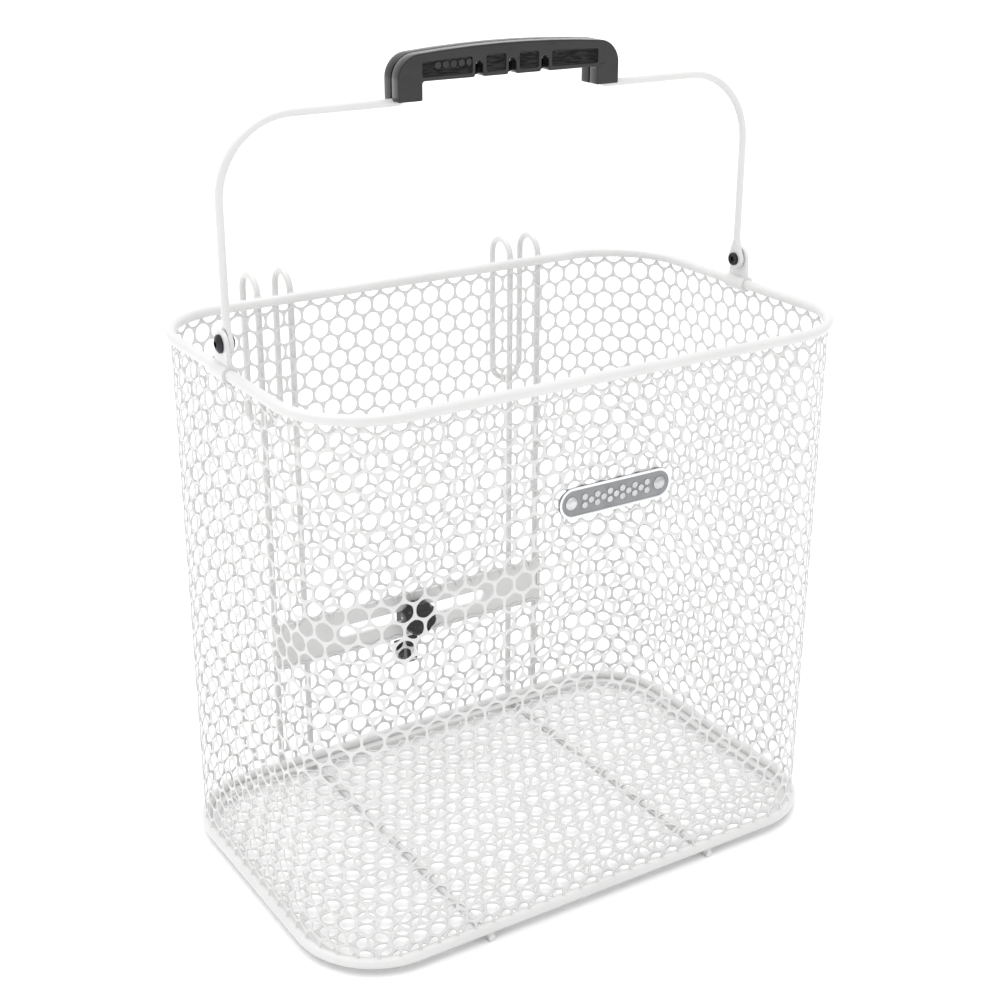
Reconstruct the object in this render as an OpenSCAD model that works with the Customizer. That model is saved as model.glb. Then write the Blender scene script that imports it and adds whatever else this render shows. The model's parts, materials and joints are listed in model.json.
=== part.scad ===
// Wire-mesh pannier basket with a swinging carrying bail, rack hooks and a sliding lower clamp.
// +X runs to the basket's right, +Y to its back, where the hooks are, and +Z up.
// The origin is the middle of the basket's base, on the surface that it stands on.

/* [Basket] */
// Width between the rim wire's centres
basket_w = 330; // [280:1:400]
// Depth between the rim wire's centres
basket_d = 212; // [180:1:260]
// Height from the bottom ring's centre to the rim's centre
basket_h = 302; // [240:1:370]
// Radius of the upright corners at the wire's centre
corner_r = 46; // [30:1:60]
// Diameter of the rim wire and the bottom ring wire
rim_d = 6; // [5:0.5:8]
// Thickness of the mesh sheet
mesh_t = 0.8; // [0.6:0.1:1.5]

/* [Rack hooks] */
// Diameter of the hook wire
hook_wire_d = 4; // [3.5:0.5:5]
// Distance from the basket's middle to the middle of a hook
hook_x = 85.25; // [78:0.25:95]
// Spacing of the two wires in a hook
hook_spacing = 20.5; // [16:0.5:26]
// Clear gap between a hook's inner and outer legs
hook_throat = 16.5; // [12:0.5:20]
// Height of the hook's top above the rim, between wire centres
hook_rise = 12.5; // [11:0.5:25]
// Depth of the outer legs below the rim, between wire centres
hook_drop = 82; // [60:1:120]
// How far the floor wires pass the front ring's centre
stub_length = 3; // [0:0.5:8]

/* [Clamp plate] */
// Height of the plate
plate_h = 30; // [24:1:40]
// Height of the plate's middle above the bottom ring's centre
plate_z = 81.5; // [60:0.5:110]
// Length of the slot from end to end
slot_length = 107; // [80:1:112]
// Width of the slot
slot_width = 8; // [7.5:0.25:10]
// How far the mesh laps over the plate's edge
window_lap = 3; // [2:0.5:5]

/* [Lower clamp] */
// Diameter of the carriage bolt
bolt_d = 6; // [5:1:7]
// Diameter of the knob
knob_d = 23; // [20:0.5:28]
// Thickness of the knob
knob_t = 9; // [8:0.5:14]
// Thickness of the clamp washer
clamp_washer_t = 1.5; // [1:0.1:2]
// Radius of a rack's bar in the hook
jaw_r = 5; // [5:0.25:8]
// Depth of the bar's middle below the bolt
jaw_drop = 31; // [26:1:40]
// Height of the hook's tip above the bar's middle
jaw_lip = 4; // [3:0.5:10]
// Width of the hook's strip
strip_w = 8; // [7:0.5:12]
// Thickness of the hook's strip
strip_t = 4; // [4:0.25:6]
// Thickness of the hook's base
hook_base_t = 6; // [5:0.5:8]
// Width of the hook's base
hook_base_w = 16; // [15:0.5:24]

/* [Bail] */
// Diameter of the bail wire
bail_wire_d = 4.2; // [4:0.1:5]
// Height of the bail's top wire above the pivots
bail_rise = 109; // [107:1:130]
// Radius of the bail's upper corners
bail_bend_r = 40; // [25:1:45]
// Height of the pivots above the rim's centre
pivot_rise = 14.5; // [13:0.5:20]
// Diameter of the pivot bolts
pivot_d = 5; // [4:0.5:6]
// Thickness of the bail's flattened eyes
eye_t = 2.5; // [2:0.1:3.5]
// Radius of the bail's flattened eyes
eye_r = 5.75; // [5:0.25:6.5]
// Thickness of the bracket's ear
ear_t = 2; // [1.5:0.1:3]
// Radius of the bracket's ear
ear_r = 7; // [6:0.25:8.5]
// Length of the strap along the rim
strap_length = 16; // [14:1:24]
// Thickness of the strap round the rim
strap_t = 1.5; // [1:0.1:2]
// Thickness of the pivot washers
washer_t = 0.5; // [0.4:0.1:1.2]

/* [Grip] */
// Width of the grip over its legs
grip_w = 134; // [124:1:138]
// Width of each leg
grip_leg_w = 14; // [13:0.5:18]
// Depth of the grip from front to back
grip_depth = 15; // [13:0.5:20]
// Height of the grip from the legs' feet to its shoulders
grip_h = 20.5; // [20:0.5:26]
// Height of the finger gap between the legs
finger_gap = 9.5; // [8:0.5:10]
// Rise of the arched top in the middle
grip_arch = 3.5; // [2:0.5:6]
// Radius of the shoulders
shoulder_r = 11; // [8:0.5:13]
// Wall of the two shells
shell_wall = 2.2; // [1.8:0.1:3]
// Gap between the two shells
parting_gap = 0.8; // [0.4:0.1:1.2]
// Width of the notches under the front shell
notch_w = 4.5; // [3:0.5:6]
// Distance between the notches
notch_pitch = 20; // [16:0.5:24]

/* [Badge] */
// Length of the badge plate
badge_l = 70; // [50:1:90]
// Height of the badge plate
badge_h = 17; // [14:0.5:20]
// Depth of the badge's middle below the rim's centre
badge_drop = 63.5; // [45:0.5:90]
// Thickness of the badge plate
badge_t = 1.2; // [0.8:0.1:1.6]

/* [Hidden] */
$fn = 64;

// Clearances
running_gap = 0.08;      // radial, between the eye's bore and the pivot bolt
side_gap = 0.1;          // on each side of a washer, an eye or a nut on the pivot
slip_gap = 0.1;          // radial, round a bolt in a hole of its own body
weld_gap = 0.02;         // between a piece and the wire or sheet that it is welded to
slide_gap = 0.3;         // between the sliding clamp and the plate, and round the bolt's head
face_gap = 0.2;          // between faces that turn or slide on each other
grip_play = 0.3;         // round the bail wire inside the grip
eps = 0.05;              // overshoot of a cut

// Heights
rim_r = rim_d / 2;
hook_wire_r = hook_wire_d / 2;
floor_bend_r = rim_r + hook_wire_r + weld_gap;
floor_wire_z = hook_wire_r;
ring_z = floor_wire_z + floor_bend_r;
rim_z = ring_z + basket_h;
wall_z0 = ring_z + rim_r;
wall_z1 = rim_z - rim_r;
pivot_z = rim_z + pivot_rise;
clamp_z = ring_z + plate_z;

// Plan. The corners are tightened where the plate would otherwise reach them
half_w = basket_w / 2;
half_d = basket_d / 2;
plate_w = 2 * hook_x + hook_spacing + hook_wire_d;
bend_r = min(corner_r, (basket_w - plate_w) / 2 - 2);
flat_w = basket_w - 2 * bend_r;
flat_d = basket_d - 2 * bend_r;

// Rack hooks
hook_y = half_d + floor_bend_r;
hook_reach = hook_throat + hook_wire_d;
hook_bend_r = hook_reach / 2;
hook_loop_r = hook_spacing / 2;
hook_bend_z = rim_z + hook_rise - hook_bend_r;
hook_loop_z = rim_z - hook_drop + hook_loop_r;

// Clamp plate, between the mesh and the hook wires
plate_y0 = half_d + mesh_t / 2 + weld_gap;
plate_y1 = hook_y - hook_wire_r - weld_gap;
window_w = plate_w - 2 * window_lap;
window_h = plate_h - 2 * window_lap;

// Lower clamp
bolt_r = bolt_d / 2;
neck_w = slot_width - 2 * slide_gap;
hook_base_y0 = plate_y1 + slide_gap;
hook_base_y1 = hook_base_y0 + hook_base_t;
jaw_y = hook_base_y0 + strip_t + jaw_r;
jaw_z = clamp_z - jaw_drop;
head_t = 2.5;
head_r = bolt_d;
recess_t = head_t + 0.5;
washer_inset = 2;
clamp_washer_y1 = plate_y0 - slide_gap;
clamp_washer_y0 = clamp_washer_y1 - clamp_washer_t;
knob_y1 = clamp_washer_y0 - face_gap;
knob_y0 = knob_y1 - knob_t;
insert_wall = 2;
insert_r = bolt_r + insert_wall;
knob_crown = 3;
insert_t = knob_t - knob_crown;
knob_step = 1.5;
scallops = 8;
scallop_r = 3.2;
scallop_depth = 1;
scallop_stop = 2;
insert_y0 = knob_y1 - insert_t;

// Pivots
ear_x = half_w;
ear_in = ear_x - ear_t / 2;
washer_out = ear_in - side_gap;
eye_out = washer_out - washer_t - side_gap;
bail_x = eye_out - eye_t / 2;
eye_in = eye_out - eye_t;
nut_out = eye_in - side_gap;
nut_t = 1.6;
nut_r = pivot_d * 0.74;
nut_chamfer = 0.4;
pivot_r = pivot_d / 2;
pivot_head_r = pivot_d * 0.95;
pivot_head_t = pivot_d * 0.55;
pivot_dome_r = 1.5 * pivot_head_r;
pivot_socket_r = pivot_r * 0.69;
pivot_end_x = nut_out - nut_t + nut_chamfer;
end_socket_t = 1;

// Bail
bail_r = bail_wire_d / 2;
bail_top_z = pivot_z + bail_rise;
eye_taper = 12;
leg_inner_x = grip_w / 2 - grip_leg_w;
grip_foot_z = bail_top_z + bail_r;
grip_shoulder_z = grip_foot_z + grip_h;
grip_under_z = grip_foot_z + finger_gap;
grip_wire_z = grip_under_z + 6;
jog_r = 6;
jog_x = leg_inner_x + grip_leg_w / 2 - 1;

// Grip
top_r = (pow(grip_w / 2, 2) + pow(grip_arch, 2)) / (2 * grip_arch);
top_z = grip_shoulder_z + grip_arch - top_r;
recess_depth = 0.8;
panel_margin = 3;
notch_h = 6.25;
grip_screw_x = leg_inner_x - 20;
grip_screw_r = 0.9;
grip_boss_r = 2 * grip_screw_r + 0.6;
grip_screw_z = grip_wire_z + bail_r + grip_play + grip_boss_r + 0.2;
grip_head_t = 1.1;
screw_slot_l = 3;
screw_slot_w = 0.6;

// Badge
badge_z = rim_z - badge_drop;
badge_y1 = -half_d - mesh_t / 2 - weld_gap;
badge_y0 = badge_y1 - badge_t;
rivet_x = badge_l / 2 - 7.5;
rivet_r = 1.5;
backing_y0 = -half_d + mesh_t / 2 + weld_gap;
backing_t = 1;
badge_dish = badge_t * 0.35;
badge_border = 1;
rivet_head_r = 2.4 * rivet_r;
rivet_tail_r = 1.6 * rivet_r;
rivet_tail_t = 0.8;

// ---------- helpers ----------

// A round bar along X, Y or Z between two coordinates
module bar_x(x0, x1, y, z, r)
    translate([min(x0, x1), y, z]) rotate([0, 90, 0]) cylinder(r = r, h = abs(x1 - x0));
module bar_y(y0, y1, x, z, r)
    translate([x, max(y0, y1), z]) rotate([90, 0, 0]) cylinder(r = r, h = abs(y1 - y0));
module bar_z(z0, z1, x, y, r)
    translate([x, y, min(z0, z1)]) cylinder(r = r, h = abs(z1 - z0));

// A bent bar in the XY plane, from angle a0 over the given sweep
module bend(turn_r, r, a0, sweep)
    rotate([0, 0, a0]) rotate_extrude(angle = sweep) translate([turn_r, 0]) circle(r = r);

// The same bend stood up in the YZ plane, with 0 degrees towards +Y and 90 degrees towards +Z
module bend_yz(turn_r, r, a0, sweep) rotate([90, 0, 90]) bend(turn_r, r, a0, sweep);

// The same bend stood up in the XZ plane, with 0 degrees towards +X and 90 degrees towards +Z
module bend_xz(turn_r, r, a0, sweep) rotate([90, 0, 0]) bend(turn_r, r, a0, sweep);

// Wire bent to the basket's plan outline
module outline_wire(r) {
    for (s = [-1, 1]) {
        bar_x(-flat_w / 2, flat_w / 2, s * half_d, 0, r);
        bar_y(-flat_d / 2, flat_d / 2, s * half_w, 0, r);
    }
    for (q = [0 : 3]) {
        sx = (q == 0 || q == 3) ? 1 : -1;
        sy = (q < 2) ? 1 : -1;
        translate([sx * flat_w / 2, sy * flat_d / 2, 0]) bend(bend_r, r, q * 90, 90);
    }
}

// A plate standing in the XZ plane, cut from a 2D outline
module upright(y0, y1) translate([0, y1, 0]) rotate([90, 0, 0]) linear_extrude(y1 - y0) children();

// Outline with two round ends, centred
module stadium(l, h) {
    square([l - h, h], center = true);
    for (s = [-1, 1]) translate([s * (l - h) / 2, 0]) circle(d = h);
}

// ---------- basket ----------

module top_rim() color("white") translate([0, 0, rim_z]) outline_wire(rim_r);
module bottom_ring() color("white") translate([0, 0, ring_z]) outline_wire(rim_r);

module front_wall_mesh() color("gainsboro")
    translate([-flat_w / 2, -half_d - mesh_t / 2, wall_z0]) cube([flat_w, mesh_t, wall_z1 - wall_z0]);

module back_wall_mesh() color("gainsboro") difference() {
    translate([-flat_w / 2, half_d - mesh_t / 2, wall_z0]) cube([flat_w, mesh_t, wall_z1 - wall_z0]);
    translate([-window_w / 2, half_d - mesh_t, clamp_z - window_h / 2])
        cube([window_w, 2 * mesh_t, window_h]);
}

module side_wall_mesh(s) color("gainsboro")
    translate([s * half_w - mesh_t / 2, -flat_d / 2, wall_z0]) cube([mesh_t, flat_d, wall_z1 - wall_z0]);
module left_wall_mesh() side_wall_mesh(-1);
module right_wall_mesh() side_wall_mesh(1);

module corner_mesh(sx, sy, a0) color("gainsboro")
    translate([sx * flat_w / 2, sy * flat_d / 2, wall_z0]) rotate([0, 0, a0])
        rotate_extrude(angle = 90)
            translate([bend_r - mesh_t / 2, 0]) square([mesh_t, wall_z1 - wall_z0]);
module back_right_corner_mesh() corner_mesh(1, 1, 0);
module back_left_corner_mesh() corner_mesh(-1, 1, 90);
module front_left_corner_mesh() corner_mesh(-1, -1, 180);
module front_right_corner_mesh() corner_mesh(1, -1, 270);

// The floor sheet lies on the floor wires and meets the ring all round
module floor_mesh() {
    top = rim_r - mesh_t - weld_gap;
    inset = sqrt(rim_r * rim_r - top * top) + weld_gap;
    color("gainsboro") translate([0, 0, ring_z - rim_r + weld_gap]) linear_extrude(mesh_t) {
        square([basket_w - 2 * inset, flat_d], center = true);
        square([flat_w, basket_d - 2 * inset], center = true);
        for (sx = [-1, 1], sy = [-1, 1])
            translate([sx * flat_w / 2, sy * flat_d / 2]) circle(r = bend_r - inset);
    }
}

// One bent wire: floor, back, over and down, round, up, over and down again
module rack_hook(s) {
    floor_x = s * (hook_x - hook_spacing / 2);
    end_x = s * (hook_x + hook_spacing / 2);
    color("white") {
        bar_y(-half_d - stub_length, half_d, floor_x, floor_wire_z, hook_wire_r);
        translate([floor_x, half_d, ring_z]) bend_yz(floor_bend_r, hook_wire_r, 270, 90);
        bar_z(ring_z, hook_bend_z, floor_x, hook_y, hook_wire_r);
        bar_z(ring_z - rim_r, hook_bend_z, end_x, hook_y, hook_wire_r);
        for (x = [floor_x, end_x]) {
            translate([x, hook_y + hook_bend_r, hook_bend_z]) bend_yz(hook_bend_r, hook_wire_r, 0, 180);
            bar_z(hook_loop_z, hook_bend_z, x, hook_y + hook_reach, hook_wire_r);
        }
        translate([s * hook_x, hook_y + hook_reach, hook_loop_z]) bend_xz(hook_loop_r, hook_wire_r, 180, 180);
    }
}
module left_rack_hook() rack_hook(-1);
module right_rack_hook() rack_hook(1);

module clamp_plate() color("white") translate([0, 0, clamp_z]) upright(plate_y0, plate_y1) difference() {
    square([plate_w, plate_h], center = true);
    stadium(slot_length, slot_width);
}

// ---------- pivots ----------

// An ear on a strap that wraps the rim and is open below for the mesh
module pivot_bracket(s) color("white") difference() {
    union() {
        translate([s * ear_x, 0, pivot_z]) rotate([90, 0, 90]) linear_extrude(ear_t, center = true) {
            circle(r = ear_r);
            polygon([
                [-ear_r, 0], [ear_r, 0],
                [strap_length / 2, -pivot_rise], [-strap_length / 2, -pivot_rise]
            ]);
        }
        bar_y(-strap_length / 2, strap_length / 2, s * half_w, rim_z, rim_r + strap_t);
    }
    bar_y(-strap_length, strap_length, s * half_w, rim_z, rim_r + weld_gap);
    translate([s * half_w - mesh_t / 2 - weld_gap, -strap_length, rim_z - 2 * rim_r])
        cube([mesh_t + 2 * weld_gap, 2 * strap_length, rim_r + eps]);
    bar_x(s * ear_x - ear_t, s * ear_x + ear_t, 0, pivot_z, pivot_r + slip_gap);
}
module left_pivot_bracket() pivot_bracket(-1);
module right_pivot_bracket() pivot_bracket(1);

// Button-head bolts, pushed in from outside
module pivot_bolts() color("dimgray") for (s = [-1, 1]) mirror([s < 0 ? 1 : 0, 0, 0]) difference() {
    head_x = ear_x + ear_t / 2;
    union() {
        bar_x(pivot_end_x, head_x + eps, 0, pivot_z, pivot_r);
        translate([head_x, 0, pivot_z]) rotate([0, 90, 0]) intersection() {
            cylinder(r = pivot_head_r, h = pivot_head_t);
            translate([0, 0, pivot_head_t - pivot_dome_r]) sphere(r = pivot_dome_r);
        }
    }
    translate([head_x + pivot_head_t * 0.4, 0, pivot_z]) rotate([0, 90, 0])
        cylinder(r = pivot_socket_r, h = pivot_head_t, $fn = 6);
    translate([pivot_end_x - 1, 0, pivot_z]) rotate([0, 90, 0])
        cylinder(r = pivot_socket_r, h = end_socket_t + 1, $fn = 6);
}

module pivot_washers() color("silver") for (s = [-1, 1]) difference() {
    bar_x(s * washer_out, s * (washer_out - washer_t), 0, pivot_z, eye_r - 0.5);
    bar_x(s * (washer_out + 1), s * (washer_out - washer_t - 1), 0, pivot_z, pivot_r + slip_gap);
}

// Low round nuts on the inside, with the bolts' ends sunk in them
module pivot_nuts() color("dimgray") for (s = [-1, 1]) mirror([s < 0 ? 1 : 0, 0, 0]) difference() {
    translate([nut_out, 0, pivot_z]) rotate([0, -90, 0]) union() {
        cylinder(r = nut_r, h = nut_t - nut_chamfer);
        translate([0, 0, nut_t - nut_chamfer])
            cylinder(r1 = nut_r, r2 = nut_r - nut_chamfer, h = nut_chamfer);
    }
    bar_x(nut_out + 1, nut_out - nut_t - 1, 0, pivot_z, pivot_r + weld_gap);
}

// ---------- badge ----------

module badge_plate() color("silver") translate([0, 0, badge_z]) difference() {
    upright(badge_y0, badge_y1) stadium(badge_l, badge_h);
    upright(badge_y0 - eps, badge_y0 + badge_dish)
        stadium(badge_l - 2 * badge_border, badge_h - 2 * badge_border);
    for (s = [-1, 1]) bar_y(badge_y0 - 1, badge_y1 + 1, s * rivet_x, 0, rivet_r + slip_gap);
}

module badge_backing() color("silver") translate([0, 0, badge_z]) difference() {
    upright(backing_y0, backing_y0 + backing_t) stadium(badge_l - 2, badge_h - 4);
    for (s = [-1, 1]) bar_y(backing_y0 - 1, backing_y0 + backing_t + 1, s * rivet_x, 0, rivet_r + slip_gap);
}

// Rivets through the badge, a hole of the mesh and the backing
module badge_rivets() {
    seat_y = badge_y0 + badge_dish;
    tail_y = backing_y0 + backing_t;
    color("lightgray") for (s = [-1, 1]) translate([s * rivet_x, 0, badge_z]) {
        bar_y(seat_y - eps, badge_y1, 0, 0, rivet_r);
        bar_y(backing_y0, tail_y + eps, 0, 0, rivet_r);
        translate([0, seat_y, 0]) rotate([90, 0, 0]) intersection() {
            cylinder(r = rivet_head_r, h = rivet_r);
            translate([0, 0, -2 * rivet_r]) sphere(r = 3.2 * rivet_r);
        }
        bar_y(tail_y, tail_y + rivet_tail_t, 0, 0, rivet_tail_r);
    }
}

// ---------- bail ----------

// Half of the bail, on the +X side
module half_bail() {
    straight_z = bail_top_z - bail_bend_r;
    bar_z(pivot_z + eye_taper, straight_z, bail_x, 0, bail_r);
    translate([bail_x - bail_bend_r, 0, straight_z]) bend_xz(bail_bend_r, bail_r, 0, 90);
    bar_x(jog_x + jog_r, bail_x - bail_bend_r, 0, bail_top_z, bail_r);
    translate([jog_x + jog_r, 0, bail_top_z + jog_r]) bend_xz(jog_r, bail_r, 180, 90);
    bar_z(bail_top_z + jog_r, grip_wire_z - jog_r, jog_x, 0, bail_r);
    translate([jog_x - jog_r, 0, grip_wire_z - jog_r]) bend_xz(jog_r, bail_r, 0, 90);
    bar_x(0, jog_x - jog_r, 0, grip_wire_z, bail_r);
    hull() {
        translate([bail_x, 0, pivot_z + eye_taper]) cylinder(r = bail_r, h = eps, $fn = 32);
        translate([bail_x - eye_t / 2, -eye_r * 0.65, pivot_z + eye_r * 0.95]) cube([eye_t, eye_r * 1.3, eps]);
    }
    translate([bail_x, 0, pivot_z]) rotate([90, 0, 90]) linear_extrude(eye_t, center = true) polygon([
        [-eye_r * 0.79, eye_r * 0.6], [eye_r * 0.79, eye_r * 0.6],
        [eye_r * 0.6, eye_r * 1.1], [-eye_r * 0.6, eye_r * 1.1]
    ]);
}

module bail_wire() color("white") difference() {
    union() {
        for (m = [0, 1]) mirror([m, 0, 0]) half_bail();
        for (s = [-1, 1]) bar_x(s * eye_in, s * eye_out, 0, pivot_z, eye_r);
    }
    for (s = [-1, 1]) bar_x(s * (eye_in - 1), s * (eye_out + 1), 0, pivot_z, pivot_r + running_gap);
}

// Outline of the grip: two legs under an arched bar, drawn in X and Z, shrunk by the inset
module grip_outline(inset) {
    half = grip_w / 2 - inset;
    foot = grip_foot_z + inset;
    shoulder = shoulder_r - inset;
    shoulder_x = half - shoulder;
    shoulder_z = grip_shoulder_z - shoulder_r;
    difference() {
        intersection() {
            translate([0, top_z]) circle(r = top_r - inset, $fn = 256);
            union() {
                translate([-half, foot]) square([2 * half, shoulder_z - foot]);
                translate([-shoulder_x, foot]) square([2 * shoulder_x, grip_h + grip_arch]);
                for (s = [-1, 1]) translate([s * shoulder_x, shoulder_z]) circle(r = shoulder);
            }
        }
        translate([-leg_inner_x - inset, grip_foot_z - 1])
            square([2 * (leg_inner_x + inset), grip_under_z - grip_foot_z + 1 + inset]);
    }
}

// Room inside the grip for the bail wire
module wire_channel() {
    r = bail_r + grip_play;
    for (m = [0, 1]) mirror([m, 0, 0]) {
        bar_x(jog_x + jog_r, grip_w, 0, bail_top_z, r);
        translate([jog_x + jog_r, 0, bail_top_z + jog_r]) bend_xz(jog_r, r, 180, 90);
        bar_z(bail_top_z + jog_r, grip_wire_z - jog_r, jog_x, 0, r);
        translate([jog_x - jog_r, 0, grip_wire_z - jog_r]) bend_xz(jog_r, r, 0, 90);
        bar_x(0, jog_x - jog_r, 0, grip_wire_z, r);
    }
}

// Round bars on the lines of the grip's two screws
module screw_bars(y0, y1, r) for (s = [-1, 1]) bar_y(y0, y1, s * grip_screw_x, grip_screw_z, r);

// Bosses that the screws join, kept inside the grip's outline
module grip_bosses(y0, y1) intersection() {
    upright(y0, y1) grip_outline(0);
    screw_bars(y0 - 1, y1 + 1, grip_boss_r);
}

module grip_front_shell() color("#1c1c1e") difference() {
    y0 = -grip_depth / 2;
    y1 = -parting_gap / 2;
    union() {
        difference() {
            upright(y0, y1) grip_outline(0);
            upright(y0 + shell_wall, y1 + eps) grip_outline(shell_wall);
        }
        grip_bosses(y0, y1);
    }
    wire_channel();
    screw_bars(y0 + shell_wall, y1 + 1, grip_screw_r);
    upright(y0 - eps, y0 + recess_depth) intersection() {
        grip_outline(panel_margin);
        translate([-leg_inner_x, grip_under_z]) square([2 * leg_inner_x, grip_h]);
    }
    for (i = [-1 : 1]) translate([i * notch_pitch, 0, 0]) upright(y0 - 1, y0 + shell_wall + 2) union() {
        translate([-notch_w / 2, grip_under_z - 1]) square([notch_w, notch_h - notch_w / 2 + 1]);
        translate([0, grip_under_z + notch_h - notch_w / 2]) circle(d = notch_w);
    }
}

module grip_back_shell() color("#1c1c1e") difference() {
    y0 = parting_gap / 2;
    y1 = grip_depth / 2;
    union() {
        difference() {
            upright(y0, y1) grip_outline(0);
            upright(y0 - eps, y1 - shell_wall) grip_outline(shell_wall);
        }
        grip_bosses(y0, y1);
    }
    wire_channel();
    screw_bars(y0 - 1, y1 + 1, grip_screw_r + slip_gap);
    screw_bars(y1 - grip_head_t - 0.1, y1 + 1, 2 * grip_screw_r + slip_gap);
}

// Pan-head screws from the back into the front shell
module grip_screws() color("dimgray") difference() {
    seat_y = grip_depth / 2 - grip_head_t - 0.1;
    union() {
        screw_bars(-grip_depth / 2 + shell_wall + 1, seat_y + eps, grip_screw_r);
        screw_bars(seat_y, seat_y + grip_head_t, 2 * grip_screw_r);
    }
    for (s = [-1, 1], a = [0, 90]) translate([s * grip_screw_x, seat_y + grip_head_t, grip_screw_z])
        rotate([0, a, 0]) cube([screw_slot_l, grip_head_t, screw_slot_w], center = true);
}

// ---------- lower clamp ----------

// Half of a flat ring in the YZ plane, below its middle
module half_ring(r, wall) rotate([90, 0, 90]) rotate([0, 0, 180])
    rotate_extrude(angle = 180) translate([r + wall / 2, 0]) square([wall, strip_w], center = true);

// A base that slides on the plate, and a strip that runs down and turns up round a rack's bar
module lower_hook() color("#1c1c1e") difference() {
    tip_y = jaw_y + jaw_r;
    union() {
        translate([-hook_base_w / 2, hook_base_y0, clamp_z - hook_base_w / 2])
            cube([hook_base_w, hook_base_t, hook_base_w]);
        translate([-strip_w / 2, hook_base_y0, jaw_z]) cube([strip_w, strip_t, jaw_drop]);
        translate([0, jaw_y, jaw_z]) half_ring(jaw_r, strip_t);
        translate([-strip_w / 2, tip_y, jaw_z - eps]) cube([strip_w, strip_t, jaw_lip + eps - strip_t / 2]);
        bar_x(-strip_w / 2, strip_w / 2, tip_y + strip_t / 2, jaw_z + jaw_lip - strip_t / 2, strip_t / 2);
    }
    bar_y(hook_base_y0 - 1, hook_base_y1 + 5, 0, clamp_z, bolt_r + running_gap);
    bar_y(hook_base_y1 - recess_t, hook_base_y1 + 5, 0, clamp_z, head_r + slide_gap);
}

// The bolt's square neck runs in the slot and keeps it from turning
module carriage_bolt() color("silver") {
    head_y0 = hook_base_y1 - recess_t + face_gap;
    bar_y(insert_y0 + face_gap, head_y0 + eps, 0, clamp_z, bolt_r);
    bar_y(head_y0, head_y0 + head_t, 0, clamp_z, head_r);
    translate([-neck_w / 2, plate_y0, clamp_z - neck_w / 2]) cube([neck_w, plate_y1 - plate_y0, neck_w]);
}

module clamp_washer() color("silver") difference() {
    bar_y(clamp_washer_y0, clamp_washer_y1, 0, clamp_z, knob_d / 2 - washer_inset);
    bar_y(clamp_washer_y0 - 1, clamp_washer_y1 + 1, 0, clamp_z, bolt_r + slip_gap);
}

// A domed knob with a scalloped edge, hollow for its insert
module clamp_knob() {
    color("#161617") difference() {
        union() {
            bar_y(knob_y0 + knob_step, knob_y1, 0, clamp_z, knob_d / 2);
            bar_y(knob_y0, knob_y0 + knob_step + eps, 0, clamp_z, knob_d / 2 - knob_step);
        }
        for (i = [0 : scallops - 1]) translate([0, 0, clamp_z]) rotate([0, i * 360 / scallops, 0])
            bar_y(knob_y0 - 1, knob_y1 - scallop_stop, knob_d / 2 + scallop_r - scallop_depth, 0, scallop_r);
        bar_y(insert_y0, knob_y1 + 1, 0, clamp_z, insert_r);
    }
}

module knob_insert() color("goldenrod") difference() {
    bar_y(insert_y0, knob_y1, 0, clamp_z, insert_r - weld_gap);
    bar_y(insert_y0 - 1, knob_y1 + 1, 0, clamp_z, bolt_r + running_gap);
}

top_rim();
bottom_ring();
front_wall_mesh();
back_wall_mesh();
left_wall_mesh();
right_wall_mesh();
front_left_corner_mesh();
front_right_corner_mesh();
back_left_corner_mesh();
back_right_corner_mesh();
floor_mesh();
left_rack_hook();
right_rack_hook();
clamp_plate();
left_pivot_bracket();
right_pivot_bracket();
pivot_bolts();
pivot_washers();
pivot_nuts();
badge_plate();
badge_backing();
badge_rivets();
bail_wire();
grip_front_shell();
grip_back_shell();
grip_screws();
lower_hook();
carriage_bolt();
clamp_washer();
clamp_knob();
knob_insert();
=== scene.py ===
"""Looks of a honeycomb pannier basket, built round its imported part. Lengths are metres in the part's own frame."""

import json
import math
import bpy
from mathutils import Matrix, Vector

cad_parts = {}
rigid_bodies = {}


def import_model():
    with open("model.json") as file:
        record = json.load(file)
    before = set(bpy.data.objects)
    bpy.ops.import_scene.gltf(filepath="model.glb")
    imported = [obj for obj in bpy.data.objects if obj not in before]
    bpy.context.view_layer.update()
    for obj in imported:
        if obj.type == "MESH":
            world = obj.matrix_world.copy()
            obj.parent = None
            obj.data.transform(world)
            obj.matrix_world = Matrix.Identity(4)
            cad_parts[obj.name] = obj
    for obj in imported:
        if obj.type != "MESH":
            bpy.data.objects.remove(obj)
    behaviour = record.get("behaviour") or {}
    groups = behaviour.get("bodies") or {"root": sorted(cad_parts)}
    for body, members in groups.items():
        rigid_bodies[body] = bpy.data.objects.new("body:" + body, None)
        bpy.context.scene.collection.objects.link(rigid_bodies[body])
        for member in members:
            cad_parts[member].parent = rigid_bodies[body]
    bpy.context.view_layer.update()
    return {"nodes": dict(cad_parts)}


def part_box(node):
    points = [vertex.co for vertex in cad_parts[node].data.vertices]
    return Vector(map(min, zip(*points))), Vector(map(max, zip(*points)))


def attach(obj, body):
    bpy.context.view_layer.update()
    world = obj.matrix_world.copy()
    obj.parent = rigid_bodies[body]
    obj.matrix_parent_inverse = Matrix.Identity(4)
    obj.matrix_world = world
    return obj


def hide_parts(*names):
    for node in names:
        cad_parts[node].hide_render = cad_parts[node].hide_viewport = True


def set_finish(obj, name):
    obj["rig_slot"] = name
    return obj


bl_info = {
    "name": "Honeycomb Pannier Basket",
    "version": (1, 0, 0),
    "blender": (4, 5, 0),
    "location": "3D View > Sidebar > Pannier",
    "description": "Builds the honeycomb walls, floor, welds, grip, badge and knob of a wire pannier basket",
    "category": "Object",
}

import bmesh
import bpy
import numpy as np
from bpy.props import FloatProperty, FloatVectorProperty, IntProperty, PointerProperty
from mathutils import Matrix, Vector

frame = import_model()
MM = 0.001


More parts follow.
